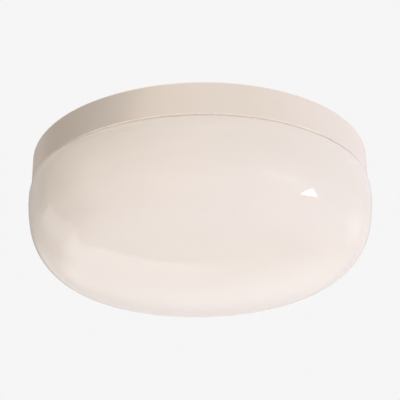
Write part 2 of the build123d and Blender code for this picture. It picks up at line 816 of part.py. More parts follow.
# Routes chosen by hand: from a lampholder over the pan to its terminal, or from the
# earth tag to the earth terminal. The last run of each lies in the terminal's way.
lead_routes = {
    "neutral_lead_1": [(-lead_start, -neutral_y, lamp_z), (-neutral_turn, -neutral_y, lamp_z),
                       (1 - neutral_turn, 4 - neutral_y, lead_z), (-61, -14.5, lead_z),
                       (-38, -20.5, lead_z), (neutral_pole_x, -22, upper_z),
                       (neutral_pole_x, wire_end, upper_z)],
    "live_lead_1": [(-lead_start, -live_y, lamp_z), (-live_turn, -live_y, lamp_z),
                    (-4 - live_turn, -29, lead_z), (-60, -10.6, lead_z), (-37, -16.6, lead_z),
                    (live_pole_x, -17.5, upper_z), (live_pole_x, wire_end, upper_z)],
    "neutral_lead_2": [(lead_start, neutral_y, lamp_z), (neutral_turn, neutral_y, lamp_z),
                       (neutral_turn - 1, neutral_y - 4, lead_z), (61, 14.5, lead_z), (50, -4, lead_z),
                       (30, -22, lead_z - 0.5), (neutral_pole_x, -22, lower_z),
                       (neutral_pole_x, wire_end, lower_z)],
    "live_lead_2": [(lead_start, live_y, lamp_z), (live_turn, live_y, lamp_z),
                    (live_turn + 4, 29, lead_z), (64.4, 12.5, lead_z), (53.4, -6, lead_z),
                    (31.5, -26, upper_z), (live_pole_x, -26.5, lower_z), (live_pole_x, wire_end, lower_z)],
    "earth_lead": [(earth_x, earth_start, barrel_z), (earth_x, -7, barrel_z), (27.5, -16, lead_z - 1.2),
                   (earth_pole_x, -16, upper_z), (earth_pole_x, wire_end - 1, upper_z)],
}


def bend_radii(route):
    """Largest arcs that the runs of a route allow, one for each inner point."""
    points = [Vector(*p) for p in route]
    radii = []
    for before, here, after in zip(points, points[1:], points[2:]):
        turn = radians((here - before).get_angle(after - here))
        run = min((here - before).length, (after - here).length)
        radii.append(arc_share * run / tan(turn / 2))
    return radii


def make_lead(name, route):
    """Insulated lead: a round section along straight runs and tangent arcs."""
    radii = bend_radii(route)
    with BuildPart() as wire:
        with BuildLine() as path:
            FilletPolyline(*route, radius=radii)
        with BuildSketch(Plane(origin=path.line @ 0, z_dir=path.line % 0)):
            Circle(lead / 2)
        sweep()
    print(name, "bend radii", [round(r, 1) for r in radii])
    save(wire, name)


def make_saddle(number, near, far):
    """Steel saddle over a pair of leads, near and far being the middles of their runs."""
    across = Vector(far[0] - near[0], far[1] - near[1], 0)
    middle = Vector((near[0] + far[0]) / 2, (near[1] + far[1]) / 2, 0)
    half = saddle_sheet / 2
    side = (pair_pitch + lead) / 2 + seat_gap + half
    foot_z = floor - half
    over_z = lead_z - lead / 2 - seat_gap - half
    path = [(-side - saddle_foot, foot_z), (-side, foot_z), (-side, over_z), (side, over_z),
            (side, foot_z), (side + saddle_foot, foot_z)]
    section = Plane(origin=middle, x_dir=across, z_dir=across.cross(Vector(0, 0, 1)))
    with BuildPart() as saddle:
        with BuildSketch(section):
            with BuildLine():
                FilletPolyline(*path, radius=saddle_bend)
            trace(line_width=saddle_sheet)
        extrude(amount=saddle_length / 2, both=True)
    save(saddle, f"lead_clip_{number}")


def run_middle(route, start):
    """Middle of the run that starts at the numbered point of a route."""
    a, b = route[start], route[start + 1]
    return ((a[0] + b[0]) / 2, (a[1] + b[1]) / 2)


# ================================================================== the whole fitting
make_pan()
make_gasket()
make_shade()
for clip_number, clip_angle in enumerate(clip_angles(), start=1):
    make_clip(clip_number, clip_angle)
    make_sleeve(clip_number, clip_angle)
for rivet_number, rivet_place in enumerate(clip_rivet_places(), start=1):
    make_rivet(f"clip_rivet_{rivet_number}", rivet_place, clip_sheet)
for rivet_number, rivet_place in enumerate(bracket_rivet_places(), start=1):
    make_rivet(f"bracket_rivet_{rivet_number}", rivet_place, bracket_sheet)
for lamp_number in (1, 2):
    make_holder(lamp_number)
    make_shell(lamp_number)
    make_contact(lamp_number)
    make_bracket(lamp_number)
    make_holder_screws(lamp_number)
    make_cap(lamp_number)
    make_insulator(lamp_number)
    make_tip(lamp_number)
    make_bulb(lamp_number)
    make_saddle(lamp_number, run_middle(lead_routes[f"neutral_lead_{lamp_number}"], 3),
                run_middle(lead_routes[f"live_lead_{lamp_number}"], 3))
make_block()
for pole_number in range(pole_count):
    make_insert(pole_number)
make_terminal_screws()
make_screw("block_screw", down_plane(pole_x(0) + pole_pitch / 2, block_y, block_face), block_screw_radius,
           floor_top - block_face + screw_tail, block_screw_head, block_screw_head_height)
make_grommet()
make_earth_tag()
make_screw("earth_screw", down_plane(earth_x, earth_y, floor - tag_sheet), earth_screw_radius,
           pan_sheet + tag_sheet + screw_tail, earth_screw_head, earth_screw_head_height)
for lead_name, lead_route in lead_routes.items():
    make_lead(lead_name, lead_route)
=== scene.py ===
"""Looks of a flush mount ceiling light: opal glass drum, enamelled steel pan, two lamps.

Metres. The origin is the centre of the face that lies on the ceiling and +Z points up.
"""

from math import acos, atan2, cos, degrees, hypot, pi, radians, sin, tan

import bmesh
import bpy
from bpy.props import FloatProperty, FloatVectorProperty, IntProperty, PointerProperty
from mathutils import Matrix, Vector


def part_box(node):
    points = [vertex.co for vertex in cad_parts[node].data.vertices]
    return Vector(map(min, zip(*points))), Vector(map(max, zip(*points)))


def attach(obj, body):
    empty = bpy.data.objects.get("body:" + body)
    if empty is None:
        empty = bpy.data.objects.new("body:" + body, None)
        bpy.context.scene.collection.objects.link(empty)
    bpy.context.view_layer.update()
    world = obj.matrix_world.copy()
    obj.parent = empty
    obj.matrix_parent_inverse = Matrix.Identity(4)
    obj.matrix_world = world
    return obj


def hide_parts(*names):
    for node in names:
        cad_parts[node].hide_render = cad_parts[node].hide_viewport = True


bl_info = {
    "name": "Flush mount ceiling light",
    "version": (1, 0, 0),
    "blender": (4, 5, 0),
    "location": "View3D > Sidebar > Ceiling light",
    "description": "Glass, threads, finishes and studio for a flush mount ceiling light",
    "category": "Object",
}

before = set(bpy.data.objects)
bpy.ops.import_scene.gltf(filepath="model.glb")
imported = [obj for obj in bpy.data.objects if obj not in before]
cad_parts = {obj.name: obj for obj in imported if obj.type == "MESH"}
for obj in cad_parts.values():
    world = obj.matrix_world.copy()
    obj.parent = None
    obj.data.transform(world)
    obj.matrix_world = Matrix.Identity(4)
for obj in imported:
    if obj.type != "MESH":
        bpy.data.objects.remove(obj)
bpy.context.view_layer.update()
shade_low, shade_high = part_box("opal_shade")
pan_low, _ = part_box("pan")
shell_low, shell_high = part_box("screw_shell_1")
cap_low, cap_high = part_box("lamp_cap_1")

TURN = 2 * pi
MERGE = 1e-6              # points nearer than this are one
NECK_HEIGHT = 0.0112      # shoulder of the glass to the top of its lip
WIDEST_DROP = 0.0217      # top of the lip to the widest part of the glass


# ================================================================== sizes and colours
def size(name, text, default):
    """Length in metres that a user may change."""
    return FloatProperty(name=name, description=text, default=default, unit="LENGTH", precision=4)


def colour(name, text, default):
    """Colour that a user may change."""
    return FloatVectorProperty(name=name, description=text, default=default, subtype="COLOR",
                               min=0, max=1)


class ShadeSizes(bpy.types.PropertyGroup):
    """Profile of the opal glass shade."""
    radius: size("Radius", "Widest part of the glass", shade_high.x)
    bottom: size("Bottom", "Lowest point of the glass", shade_low.z)
    lip_top: size("Lip top", "Upper face of the in-turned lip", shade_high.z)
    wall: size("Wall", "Thickness of the glass", 0.0032)
    shoulder: size("Shoulder", "Height of the shoulder under the rim", shade_high.z - NECK_HEIGHT)
    widest: size("Widest", "Height of the widest part", shade_high.z - WIDEST_DROP)
    side_arc: size("Side arc", "Radius of the side's profile", 0.1419)
    corner_arc: size("Corner arc", "Radius of the lower corner's profile", 0.058)
    dome_arc: size("Dome arc", "Radius of the bottom's profile", 0.518)
    shoulder_inset: size("Shoulder inset", "Shoulder's edge inside the widest part", 0.002)
    shoulder_edge: size("Shoulder edge", "Rounding of the shoulder's edge", 0.00096)
    neck_radius: size("Neck radius", "Outside of the neck inside the pan", 0.157)
    neck_root: size("Neck root", "Rounding between shoulder and neck", 0.0015)
    neck_top: size("Neck top", "Rounding of the neck's top", 0.0025)
    lip_reach: size("Lip reach", "Width of the in-turned lip", 0.0053)
    lip_wall: size("Lip wall", "Thickness of the lip", 0.003)
    lip_edge: size("Lip edge", "Rounding of the lip's edge", 0.0014)
    flare: size("Flare", "Roundings where the neck opens into the body", 0.004)
    turns: IntProperty(name="Segments", description="Faces round the glass", default=288, min=24)


class ThreadSizes(bpy.types.PropertyGroup):
    """Round threads of the lamp caps and contact shells."""
    pitch: size("Pitch", "Rise of one turn", 0.00363)
    cap_depth: size("Cap depth", "Depth of the cap's thread", 0.00072)
    shell_depth: size("Shell depth", "Depth of the contact shell's thread", 0.0003)
    fade: size("Fade", "Length over which a thread runs out", 0.0018)
    cap_wall: size("Cap wall", "Sheet of the cap", 0.0004)
    shell_wall: size("Shell wall", "Sheet of the contact shell", 0.0005)
    cap_radius: size("Cap radius", "Crest of the cap's thread", 0.0131)
    cap_cone: size("Cap cone", "Radius at the cap's lower end", 0.0095)
    cap_cone_height: size("Cone height", "Height of the cap's lower cone", 0.0024)
    cap_barrel: size("Cap barrel", "Length of the threaded part", 0.020)
    skirt_height: size("Skirt height", "Plain skirt above the thread", 0.0025)


class Finishes(bpy.types.PropertyGroup):
    """Colours of the materials."""
    enamel: colour("Enamel", "Pan", (0.83, 0.770, 0.71))
    opal: colour("Opal glass", "Shade", (0.86, 0.80, 0.745))
    foam: colour("Foam", "Gasket under the rim", (0.84, 0.80, 0.74))
    silicone: colour("Silicone", "Sleeves of the spring clips", (0.74, 0.73, 0.70))
    spring_steel: colour("Spring steel", "Clips", (0.52, 0.52, 0.54))
    plated_steel: colour("Plated steel", "Brackets, screws and rivets", (0.66, 0.67, 0.69))
    porcelain: colour("Porcelain", "Lampholders", (0.82, 0.80, 0.76))
    brass: colour("Brass", "Contacts and terminals", (0.71, 0.50, 0.22))
    nickel: colour("Nickel", "Lamp caps", (0.68, 0.66, 0.62))
    insulator: colour("Insulator", "Glass in the lamp caps", (0.015, 0.013, 0.018))
    solder: colour("Solder", "Tip contacts", (0.48, 0.48, 0.49))
    frosted: colour("Frosted glass", "Bulbs", (0.83, 0.82, 0.80))
    nylon: colour("Nylon", "Terminal block", (0.76, 0.74, 0.68))
    rubber: colour("Rubber", "Cable grommet", (0.035, 0.034, 0.033))
    live: colour("Live", "Live leads", (0.115, 0.045, 0.020))
    neutral: colour("Neutral", "Neutral leads", (0.030, 0.120, 0.400))
    earth: colour("Earth", "Earth lead", (0.045, 0.250, 0.050))
    earth_stripe: colour("Earth stripe", "Stripe on the earth lead", (0.720, 0.560, 0.040))


class Studio(bpy.types.PropertyGroup):
    """Camera, floor, and the wall and card that light the object."""
    lens: FloatProperty(name="Lens", description="Focal length in millimetres", default=90.55)
    distance: size("Distance", "Camera to the aim point", 0.978)
    aim: size("Aim", "Height of the aim point", -0.0489)
    elevation: FloatProperty(name="Elevation", description="Camera below the aim point",
                             default=-0.4211, subtype="ANGLE")
    roll: FloatProperty(name="Roll", description="Tilt of the picture", default=-0.0158,
                        subtype="ANGLE")
    shift_x: FloatProperty(name="Shift X", description="Share of the picture", default=-0.0008)
    shift_y: FloatProperty(name="Shift Y", description="Share of the picture", default=0.033)
    floor_drop: size("Floor drop", "Floor below the ceiling face", 1.6)
    floor_radius: size("Floor radius", "Round floor", 1.8)
    floor_back: size("Floor back", "Middle of the floor behind the object", 0.2)
    key_distance: size("Key distance", "Bright card from the origin", 1.64)
    key_level: FloatProperty(name="Key level", description="Brightness of the bright card",
                             default=9.0)
    wall_radius: size("Wall radius", "Round wall that carries the light", 2.8)
    wall_level: FloatProperty(name="Wall level", description="Brightness of white on the wall",
                              default=2.1)
    surround: colour("Surround", "Pale surroundings", (0.92, 0.92, 0.92))
    floor_white: colour("Floor", "Pale floor", (0.88, 0.86, 0.85))


GROUPS = {"light_shade": ShadeSizes, "light_threads": ThreadSizes, "light_finishes": Finishes,
          "light_studio": Studio}


# ================================================================== shader arithmetic
class Signal:
    """A shader socket that takes part in Python arithmetic; each step adds its Math node."""

    def __init__(self, graph, socket):
        self.graph = graph
        self.socket = socket

    def __add__(self, other):
        return self.graph.math("ADD", self, other)

    def __radd__(self, other):
        return self.graph.math("ADD", other, self)

    def __sub__(self, other):
        return self.graph.math("SUBTRACT", self, other)

    def __rsub__(self, other):
        return self.graph.math("SUBTRACT", other, self)

    def __mul__(self, other):
        return self.graph.math("MULTIPLY", self, other)

    def __rmul__(self, other):
        return self.graph.math("MULTIPLY", other, self)

    def __pow__(self, other):
        return self.graph.math("POWER", self, other)

    def step(self, low, high):
        """0 below low, 1 above high, smooth between them."""
        settings = {"interpolation_type": "SMOOTHSTEP"}
        return self.graph.node("ShaderNodeMapRange", settings,
                               {"Value": self, "From Min": low, "From Max": high})


class Graph:
    """Nodes of a world or a material."""

    def __init__(self, owner):
        owner.use_nodes = True
        self.tree = owner.node_tree

    def node(self, kind, settings, values, output=0):
        """Add a node: its settings first, then the values or links of its sockets."""
        made = self.tree.nodes.new(kind)
        for key, value in settings.items():
            setattr(made, key, value)
        for key, value in values.items():
            self.set(made.inputs[key], value)
        return Signal(self, made.outputs[output])

    def set(self, socket, value):
        """Link a signal to a socket, or write a value into it."""
        if isinstance(value, Signal):
            self.tree.links.new(value.socket, socket)
        else:
            socket.default_value = value

    def math(self, operation, *operands):
        """Add a Math node; the operands are signals or numbers."""
        return self.node("ShaderNodeMath", {"operation": operation}, dict(enumerate(operands)))


class MaterialGraph(Graph):
    """Nodes of one material: patterns on Object coordinates and the Principled shader."""

    def __init__(self, name):
        self.material = bpy.data.materials.new(name)
        super().__init__(self.material)
        self.shader = self.tree.nodes["Principled BSDF"]
        self.place = self.node("ShaderNodeTexCoord", {}, {}, "Object")

    def mix(self, share, first, second):
        """Colour first where share is 0 and second where it is 1."""
        first, second = (c if isinstance(c, Signal) else (*c, 1) for c in (first, second))
        return self.node("ShaderNodeMix", {"data_type": "RGBA"}, {0: share, 6: first, 7: second}, 2)

    def noise(self, scale, detail=2.0, rough=0.5, where=None, distortion=0.0):
        """Soft clouds from 0 to 1, as many to the metre as the scale says."""
        values = {"Vector": where or self.place, "Scale": scale, "Detail": detail,
                  "Roughness": rough, "Distortion": distortion}
        return self.node("ShaderNodeTexNoise", {}, values, "Fac")

    def cells(self, scale, output="Distance"):
        """Scattered cells: the distance to a cell's middle, or a colour for each cell."""
        values = {"Vector": self.place, "Scale": scale}
        return self.node("ShaderNodeTexVoronoi", {}, values, output)

    def stretched(self, stretch):
        """Object coordinates stretched, for drawn metal and glass."""
        return self.node("ShaderNodeMapping", {}, {"Vector": self.place, "Scale": stretch})

    def axis(self, name):
        """One of the Object coordinates, in metres."""
        return self.node("ShaderNodeSeparateXYZ", {}, {"Vector": self.place}, name)

    def bump(self, height, depth, strength):
        """Surface relief of the given depth in metres."""
        values = {"Height": height, "Distance": depth, "Strength": strength}
        return self.node("ShaderNodeBump", {}, values)

    def finish(self, **inputs):
        """Set the shader's sockets, named with underscores for spaces."""
        for key, value in inputs.items():
            socket = self.shader.inputs[key.replace("_", " ")]
            if isinstance(value, tuple) and socket.type == "RGBA":
                value = (*value, 1)
            self.set(socket, value)
        return self.material

    def glow(self, shade, strength):
        """Let the surface give light and mirror none."""
        return self.finish(Base_Color=(0, 0, 0), Emission_Color=shade, Emission_Strength=strength,
                           Specular_IOR_Level=0.0, Roughness=1.0)


def tone(base, factor):
    """A colour made darker or lighter."""
    return tuple(min(1.0, c * factor) for c in base)


# ================================================================== finishes
# Tints that show where a surface is rubbed, heated, tarnished, speckled or dusty.
RUBBED_STEEL = (0.42, 0.39, 0.36)
TEMPER_TINT = (0.36, 0.33, 0.33)
PLATING_HAZE = (0.55, 0.53, 0.46)
IRON_SPECK = (0.30, 0.24, 0.18)
BRASS_TARNISH = (0.34, 0.21, 0.09)
RUBBER_BLOOM = (0.16, 0.155, 0.15)

RIM_WEAR = (0.0006, 0.0024)      # heights above the pan's rim between which its wear ends
STRIPE_EDGE = (-0.42, -0.36)     # a lead's stripe lies where its surface looks down this much


def enamel_finish(base):
    """Satin white stove enamel: orange peel, faint clouds, dust and rubbed edges."""
    g = MaterialGraph("pan_enamel")
    clouds = g.noise(9, 3, 0.55)
    speck = g.noise(420, 3, 0.7).step(0.70, 0.78)
    above_rim = g.axis("Z") - pan_low.z
    rubbed = (1 - above_rim.step(*RIM_WEAR)) * g.noise(160, 4, 0.65).step(0.50, 0.72)
    body = g.mix(clouds.step(0.30, 0.70), tone(base, 0.975), tone(base, 1.01))
    body = g.mix(speck * 0.10, body, tone(base, 0.62))
    body = g.mix(rubbed * 0.16, body, RUBBED_STEEL)
    peel = g.bump(g.noise(520, 2, 0.45), 0.00005, 0.35)
    return g.finish(Base_Color=body, Metallic=0.36, Roughness=0.27 + 0.07 * clouds + 0.12 * rubbed,
                    Normal=peel, IOR=1.5, Coat_Weight=0.25, Coat_Roughness=0.12)


def opal_finish(base):
    """Opal glass, fire polished: gloss over a dense white body with faint streaks."""
    g = MaterialGraph("opal_glass")
    drawn = g.stretched((1, 1, 3.5))
    streaks = g.noise(11, 4, 0.55, drawn, 0.6)
    haze = g.noise(38, 2, 0.5)
    seeds = 1 - g.cells(95).step(0.020, 0.036)
    body = g.mix(streaks.step(0.28, 0.72), tone(base, 0.985), tone(base, 1.008))
    body = g.mix(seeds * 0.10, body, tone(base, 0.86))
    ripple = g.bump(g.noise(13, 1, 0.4, drawn), 0.00012, 0.25)
    return g.finish(Base_Color=body, Roughness=0.012 + 0.016 * haze, Normal=ripple, IOR=1.5,
                    Subsurface_Weight=0.30, Subsurface_Radius=(1.0, 0.9, 0.8), Subsurface_Scale=0.012)


def foam_finish(base):
    """Closed-cell foam strip with open pores on its cut faces."""
    g = MaterialGraph("gasket_foam")
    pores = g.cells(1500)
    body = g.mix(pores.step(0.15, 0.60), tone(base, 0.80), tone(base, 1.08))
    return g.finish(Base_Color=body, Roughness=0.82 + 0.12 * g.noise(300),
                    Normal=g.bump(pores, 0.0001, 0.5))


def silicone_finish(base):
    """Soft silicone tube: milky, slightly dusty."""
    g = MaterialGraph("clip_silicone")
    dust = g.noise(240, 4, 0.6)
    body = g.mix(dust.step(0.35, 0.75), base, tone(base, 0.86))
    return g.finish(Base_Color=body, Roughness=0.42 + 0.18 * dust, IOR=1.41, Subsurface_Weight=0.3,
                    Subsurface_Radius=(1.0, 0.9, 0.8), Subsurface_Scale=0.001,
                    Normal=g.bump(g.noise(700), 0.00006, 0.4))


def spring_steel_finish(base):
    """Rolled spring steel: fine lines along the strip and blue-brown temper clouds."""
    g = MaterialGraph("spring_steel")
    lines = g.noise(60, 3, 0.7, g.stretched((1, 1, 26)))
    temper = g.noise(46, 3, 0.6)
    body = g.mix(temper.step(0.45, 0.75), base, TEMPER_TINT)
    body = g.mix(lines.step(0.35, 0.70) * 0.35, body, tone(base, 1.25))
    return g.finish(Base_Color=body, Metallic=1.0, Roughness=0.24 + 0.20 * lines,
                    Normal=g.bump(lines, 0.00003, 0.5))


def plated_finish(name, base, grain):
    """Zinc plate on steel: a crystalline bloom and a yellowish haze."""
    g = MaterialGraph(name)
    crystals = g.cells(grain, output="Color")
    level = g.node("ShaderNodeSeparateColor", {}, {"Color": crystals}, "Red")
    haze = g.noise(55, 4, 0.6)
    body = g.mix(level, tone(base, 0.86), tone(base, 1.10))
    body = g.mix(haze.step(0.50, 0.80) * 0.5, body, PLATING_HAZE)
    return g.finish(Base_Color=body, Metallic=0.95, Roughness=0.26 + 0.10 * level + 0.12 * haze,
                    Normal=g.bump(g.noise(900, 2), 0.00002, 0.5))


def porcelain_finish(base):
    """Glazed porcelain: deep gloss, iron specks and a little glaze ripple."""
    g = MaterialGraph("holder_porcelain")
    specks = 1 - g.cells(260).step(0.05, 0.09)
    shade = g.noise(40, 3, 0.5)
    body = g.mix(shade.step(0.3, 0.7), tone(base, 0.96), base)
    body = g.mix(specks * 0.35, body, IRON_SPECK)
    return g.finish(Base_Color=body, Roughness=0.10 + 0.06 * shade, IOR=1.52, Coat_Weight=0.6,
                    Coat_Roughness=0.04, Normal=g.bump(g.noise(120, 2), 0.00008, 0.35))


def brass_finish(base):
    """Stamped brass with patches of tarnish."""
    g = MaterialGraph("contact_brass")
    tarnish = g.noise(180, 4, 0.65)
    body = g.mix(tarnish.step(0.45, 0.75), base, BRASS_TARNISH)
    return g.finish(Base_Color=body, Metallic=1.0, Roughness=0.22 + 0.25 * tarnish,
                    Normal=g.bump(g.noise(1300, 2), 0.00002, 0.5))


def nickel_finish(base):
    """Rolled lamp cap: nickel plate with drawing lines and dull patches."""
    g = MaterialGraph("cap_nickel")
    rings = g.noise(30, 2, 0.7, g.stretched((60, 1, 1)))
    dull = g.noise(210, 3, 0.6)
    body = g.mix(dull.step(0.45, 0.80), base, tone(base, 0.72))
    return g.finish(Base_Color=body, Metallic=1.0, Roughness=0.18 + 0.16 * rings + 0.08 * dull,
                    Normal=g.bump(rings, 0.000015, 0.5))


def black_glass_finish(base):
    """Black glass poured into the lamp cap."""
    g = MaterialGraph("cap_black_glass")
    waves = g.noise(260, 2, 0.5)
    body = g.mix(waves.step(0.4, 0.7), base, tone(base, 2.2))
    return g.finish(Base_Color=body, Roughness=0.07 + 0.08 * waves, IOR=1.55,
                    Normal=g.bump(waves, 0.00006, 0.5))


def solder_finish(base):
    """Solder button: grey and pitted, with brighter patches."""
    g = MaterialGraph("tip_solder")
    pits = g.cells(1400)
    rub = g.noise(600, 3, 0.6)
    body = g.mix(rub.step(0.40, 0.70), tone(base, 0.80), tone(base, 1.35))
    return g.finish(Base_Color=body, Metallic=0.9, Roughness=0.34 + 0.22 * rub,
                    Normal=g.bump(pits, 0.00006, 0.6))


def frosted_finish(base):
    """Etched bulb glass with its white coating."""
    g = MaterialGraph("bulb_frosted")
    frost = g.noise(1800, 3, 0.6)
    coat = g.noise(26, 3, 0.5)
    body = g.mix(coat.step(0.30, 0.75), tone(base, 0.96), tone(base, 1.04))
    return g.finish(Base_Color=body, Roughness=0.36 + 0.10 * frost, IOR=1.5, Subsurface_Weight=0.35,
                    Subsurface_Radius=(1.0, 1.0, 0.95), Subsurface_Scale=0.003,
                    Normal=g.bump(frost, 0.00001, 0.5))


def nylon_finish(base):
    """Moulded nylon: natural, waxy, with a light spark-eroded texture."""
    g = MaterialGraph("block_nylon")
    spark = g.noise(2400, 2, 0.6)
    flow = g.noise(70, 3, 0.5, g.stretched((1, 3, 1)))
    body = g.mix(flow.step(0.35, 0.70), tone(base, 0.95), tone(base, 1.03))
    return g.finish(Base_Color=body, Roughness=0.44 + 0.12 * spark, IOR=1.53, Subsurface_Weight=0.25,
                    Subsurface_Radius=(1.0, 0.9, 0.75), Subsurface_Scale=0.0015,
                    Normal=g.bump(spark, 0.00003, 0.6))


def rubber_finish(base):
    """Soft rubber with bloom."""
    g = MaterialGraph("grommet_rubber")
    bloom = g.noise(130, 4, 0.65)
    body = g.mix(bloom.step(0.50, 0.85) * 0.6, base, RUBBER_BLOOM)
    return g.finish(Base_Color=body, Roughness=0.55 + 0.20 * bloom,
                    Normal=g.bump(g.noise(1100, 2), 0.00006, 0.6))


def sheath_finish(name, base, stripe=None):
    """Insulation of a lead: soft plastic with faint drawing marks, and a stripe if it has one."""
    g = MaterialGraph(name)
    marks = g.noise(420, 3, 0.6)
    body = g.mix(marks.step(0.40, 0.75), base, tone(base, 1.35))
    if stripe:
        facing = g.node("ShaderNodeNewGeometry", {}, {}, "Normal")
        side = g.node("ShaderNodeSeparateXYZ", {}, {"Vector": facing}, "Z")
        body = g.mix(1 - side.step(*STRIPE_EDGE), body, stripe)
    return g.finish(Base_Color=body, Roughness=0.34 + 0.12 * marks, IOR=1.52,
                    Normal=g.bump(marks, 0.00004, 0.5))


def dress(material, *names):
    """Give CAD nodes a finish; a name that ends in an underscore stands for a numbered set."""
    for name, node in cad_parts.items():
        if any(name == wanted or (wanted.endswith("_") and name.startswith(wanted))
               for wanted in names):
            node.data.materials.clear()
            node.data.materials.append(material)


# ================================================================== turned pieces
class Outline:
    """Wire outline of points (radius, height), drawn point by point, then turned round Z."""

    def __init__(self, radius, height):
        self.mesh = bmesh.new()
        self.tip = self.mesh.verts.new((radius, 0, height))
        self.first = self.tip

    def line(self, radius, height, steps=1):
        """Go straight to a point."""
        start = self.tip.co.copy()
        for i in range(1, steps + 1):
            made = bmesh.ops.extrude_vert_indiv(self.mesh, verts=[self.tip])
            self.tip = made["verts"][0]
            self.tip.co = start.lerp(Vector((radius, 0, height)), i / steps)

    def arc(self, centre, turn, steps):
        """Go round a centre by an angle, counted from the radius axis toward the height."""
        made = bmesh.ops.spin(self.mesh, geom=[self.tip], cent=(centre[0], 0, centre[1]),
                              axis=(0, -1, 0), angle=turn, steps=steps)
        self.tip = [v for v in made["geom_last"] if isinstance(v, bmesh.types.BMVert)][0]

    def path(self, points, rounding, steps=6):
        """Straight runs through points; each inner corner takes its own rounding."""
        for i, (here, there) in enumerate(zip(points, points[1:])):
            r = rounding[i]
            start = Vector((self.tip.co.x, self.tip.co.z))
            run = (Vector(here) - start).normalized()
            way = (Vector(there) - Vector(here)).normalized()
            turn = atan2(run.x * way.y - run.y * way.x, run.dot(way))
            before = Vector(here) - run * abs(r * tan(turn / 2))
            side = 1 if turn > 0 else -1
            self.line(before.x, before.y)
            if r:
                self.arc((before.x - run.y * r * side, before.y + run.x * r * side), turn, steps)
        self.line(*points[-1])

    def close(self):
        """Join the last point to the first."""
        self.mesh.edges.new((self.tip, self.first))

    def turned(self, segments):
        """Spin the outline round Z into a closed surface."""
        bm = self.mesh
        bmesh.ops.spin(bm, geom=bm.verts[:] + bm.edges[:], cent=(0, 0, 0), axis=(0, 0, 1),
                       angle=TURN, steps=segments, use_merge=True)
        bmesh.ops.remove_doubles(bm, verts=bm.verts[:], dist=MERGE)
        bmesh.ops.dissolve_degenerate(bm, dist=MERGE, edges=bm.edges[:])
        bmesh.ops.recalc_face_normals(bm, faces=bm.faces[:])
        return bm


def add_piece(name, bm, material, body, replaced):
    """Make a smooth object of a bmesh, which rides a body and replaces a CAD node."""
    for face in bm.faces:
        face.smooth = True
    mesh = bpy.data.meshes.new(name)
    bm.to_mesh(mesh)
    bm.free()
    mesh.materials.append(material)
    piece = bpy.data.objects.new(name, mesh)
    bpy.context.scene.collection.objects.link(piece)
    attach(piece, body)
    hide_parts(replaced)


class BuildShade(bpy.types.Operator):
    """Turn the opal glass shade: dome, corner, side, shoulder, neck and in-turned lip"""
    bl_idname = "ceiling_light.build_shade"
    bl_label = "Opal shade"
    dome_steps = 26
    corner_steps = 30
    side_steps = 12
    upper_steps = 8
    upper_share = 0.9         # drawn of the arc above the widest part; the shoulder's edge follows

    def execute(self, context):
        s = context.scene.light_shade
        side_x = s.radius - s.side_arc
        dome_z = s.bottom + s.dome_arc
        # The corner's arc runs into the side's and the dome's, so the middles of the three arcs
        # form a triangle with known sides.
        to_side = s.side_arc - s.corner_arc
        to_dome = s.dome_arc - s.corner_arc
        run, rise = -side_x, dome_z - s.widest
        apart = hypot(run, rise)
        opening = acos((to_side ** 2 + apart ** 2 - to_dome ** 2) / (2 * to_side * apart))
        side_end = atan2(rise, run) - opening
        corner = (side_x + to_side * cos(side_end), s.widest + to_side * sin(side_end))
        dome_end = atan2(corner[1] - dome_z, corner[0])
        drop = s.shoulder - s.widest
        upper_arc = (drop * drop + s.shoulder_inset ** 2) / (2 * s.shoulder_inset)
        upper_turn = acos(1 - s.shoulder_inset / upper_arc)
        neck_in = s.neck_radius - s.wall
        lip_in = neck_in - s.lip_reach
        lip_low = s.lip_top - s.lip_wall
        inside = s.radius - s.wall
        glass = Outline(0, s.bottom)
        glass.arc((0, dome_z), dome_end + pi / 2, self.dome_steps)
        glass.arc(corner, side_end - dome_end, self.corner_steps)
        glass.arc((side_x, s.widest), -side_end, self.side_steps)
        glass.arc((s.radius - upper_arc, s.widest), upper_turn * self.upper_share, self.upper_steps)
        glass.path([
            (s.radius - s.shoulder_inset, s.shoulder),
            (s.neck_radius, s.shoulder),
            (s.neck_radius, s.lip_top),
            (lip_in, s.lip_top),
            (lip_in, lip_low),
            (neck_in, lip_low),
            (neck_in, s.shoulder - s.wall),
            (inside, s.shoulder - s.wall),
            (inside, s.widest),
        ], [s.shoulder_edge, s.neck_root, s.neck_top, s.lip_edge, s.lip_edge, s.neck_root, s.flare,
            s.flare])
        glass.arc((side_x, s.widest), side_end, self.side_steps)
        glass.arc(corner, dome_end - side_end, self.corner_steps)
        glass.arc((0, dome_z), -pi / 2 - dome_end, self.dome_steps)
        finish = opal_finish(tuple(context.scene.light_finishes.opal))
        add_piece("glass_shade", glass.turned(s.turns), finish, "shade", "opal_shade")
        return {"FINISHED"}


# ================================================================== threads
def cut_thread(bm, low, high, pitch, depth, fade):
    """Press a round thread into the turned wall between two heights; it runs out at both ends."""
    for v in bm.verts:
        out = hypot(v.co.x, v.co.y)
        inside = min(v.co.z - low, high - v.co.z)
        if inside <= 0 or out == 0:
            continue
        share = min(1.0, inside / fade)
        wave = 0.5 - 0.5 * cos(TURN * v.co.z / pitch - atan2(v.co.y, v.co.x))
        scale = 1 - depth * share * wave / out
        v.co.x *= scale
        v.co.y *= scale


def lamp_place(low, high, way):
    """Transform from the Z axis to the axis along X of a piece whose box is low to high."""
    middle = (low + high) / 2
    mouth = low.x if way > 0 else high.x
    quarter = Matrix.Rotation(way * pi / 2, 4, "Y")
    return Matrix.Translation((mouth, middle.y, middle.z)) @ quarter


